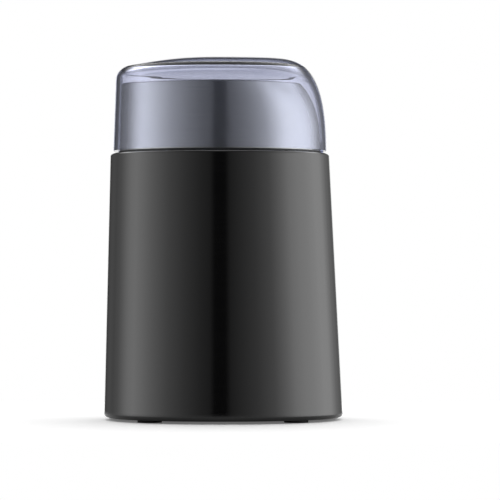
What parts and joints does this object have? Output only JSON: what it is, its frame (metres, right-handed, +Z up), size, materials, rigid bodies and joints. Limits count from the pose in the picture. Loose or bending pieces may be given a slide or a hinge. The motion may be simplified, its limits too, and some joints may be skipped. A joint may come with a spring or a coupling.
{
  "type": "electric spice grinder",
  "caption": "Push-lid electric spice grinder: oval black housing, steel neck and bowl, clear lid, spinning blade, motor and sprung lid switch inside.",
  "frame": {"origin": "middle of the underside, on the plane of the feet", "axes": "+Z up along the height; +Y across the depth, towards the back; +X along the length, towards the lid's tongue and the switch"},
  "size_m": [0.1099, 0.087, 0.1669],
  "materials": {
    "black_gloss": "high gloss injection moulding",
    "black_satin": "fine satin moulding",
    "black_rubber": "matt",
    "satin_steel": "satin, drawn sheet",
    "blade_steel": "ground",
    "ground_steel": "ground",
    "zinc_steel": "bright zinc plate",
    "spring_wire": "drawn wire",
    "lamination_steel": "stacked sheet, varnished",
    "enamelled_copper": "enamelled wire",
    "bare_copper": "turned",
    "sintered_bronze": "sintered",
    "cast_aluminium": "die cast",
    "ivory_plastic": "satin",
    "brown_plastic": "satin",
    "switch_plastic": "satin",
    "red_plastic": "gloss",
    "carbon": "pressed carbon",
    "smoked_clear": "clear, smoke-blue tint, polished"
  },
  "bodies": {
    "root": {"housing": "black_gloss", "base_cover": "black_satin", "base_screws": "zinc_steel", "feet": "black_rubber", "cord_gland": "black_rubber", "deck": "black_satin", "deck_screws": "zinc_steel", "neck_band": "satin_steel", "bowl": "satin_steel", "bowl_gasket": "black_rubber", "shaft_seal": "black_rubber", "stator_core": "lamination_steel", "stator_coils": "enamelled_copper", "upper_bracket": "cast_aluminium", "lower_bracket": "cast_aluminium", "upper_bush": "sintered_bronze", "lower_bush": "sintered_bronze", "motor_screws": "zinc_steel", "motor_dampers": "black_rubber", "hanger_screws": "zinc_steel", "brush_holders": "brown_plastic", "carbon_brushes": "carbon", "brush_springs": "spring_wire", "switch_bracket": "ivory_plastic", "microswitch": "switch_plastic", "switch_screws": "zinc_steel", "pusher_spring": "spring_wire"},
    "rotor": {"blade": "blade_steel", "blade_spacer": "blade_steel", "blade_nut": "blade_steel", "motor_shaft": "ground_steel", "armature_core": "lamination_steel", "armature_windings": "enamelled_copper", "commutator": "bare_copper", "cooling_fan": "ivory_plastic"},
    "plunger": {"switch_pusher": "ivory_plastic", "switch_button": "red_plastic"},
    "lid": {"lid": "smoked_clear"}
  },
  "joints": [
    {"name": "blade_spin", "type": "hinge", "parent": "root", "child": "rotor", "pos_m": [-0.00525, 0, 0.1], "axis": [0, 0, 1], "continuous": true},
    {"name": "lid_press", "type": "slide", "parent": "root", "child": "plunger", "axis": [0, 0, -1], "range_m": [0, 0.001], "stiffness_N_per_m": 800, "springref_m": -0.004, "deforming": ["pusher_spring"]},
    {"name": "lid_lift", "type": "slide", "parent": "plunger", "child": "lid", "axis": [0, 0, 1], "range_m": [0, 0.05]}
  ]
}
